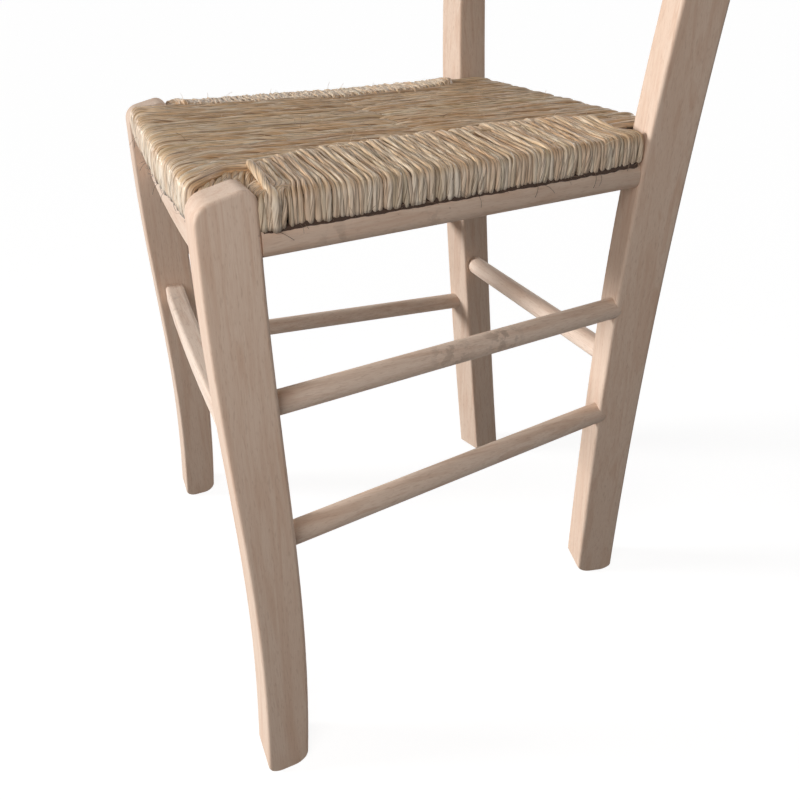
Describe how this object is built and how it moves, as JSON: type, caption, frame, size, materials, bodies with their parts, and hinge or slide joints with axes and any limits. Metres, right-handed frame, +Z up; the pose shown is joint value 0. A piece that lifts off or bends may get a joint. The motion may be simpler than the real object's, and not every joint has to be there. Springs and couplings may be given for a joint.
{
  "type": "rush seat chair",
  "caption": "Raw beech country dining chair with a rush seat woven on a drop-in frame, round side stretchers, bowed front rail and a fan-shaped slat back",
  "frame": {"origin": "on the floor, under the middle of the chair's bounding box", "axes": "+Z up, the chair faces -Y, +X is its right side as seen by someone standing in front and looking along +Y"},
  "size_m": [0.4644, 0.4282, 0.8626],
  "materials": {
    "beech": "raw sanded beech, no varnish",
    "rush": "twisted dry rush cord",
    "screw_steel": "plain zinc plated steel"
  },
  "bodies": {
    "root": {"front_leg_left": "beech", "front_leg_right": "beech", "back_post_left": "beech", "back_post_right": "beech", "side_stretcher_upper_left": "beech", "side_stretcher_upper_right": "beech", "side_stretcher_lower_left": "beech", "side_stretcher_lower_right": "beech", "front_stretcher": "beech", "back_stretcher": "beech", "front_rail": "beech", "back_rail": "beech", "side_rail_left": "beech", "side_rail_right": "beech", "crest_rail": "beech", "middle_slat": "beech", "lower_slat": "beech", "seat_frame_front": "beech", "seat_frame_back": "beech", "seat_frame_left": "beech", "seat_frame_right": "beech", "rush_weave": "rush", "rush_padding": "rush", "seat_screws": "screw_steel"}
  },
  "joints": []
}
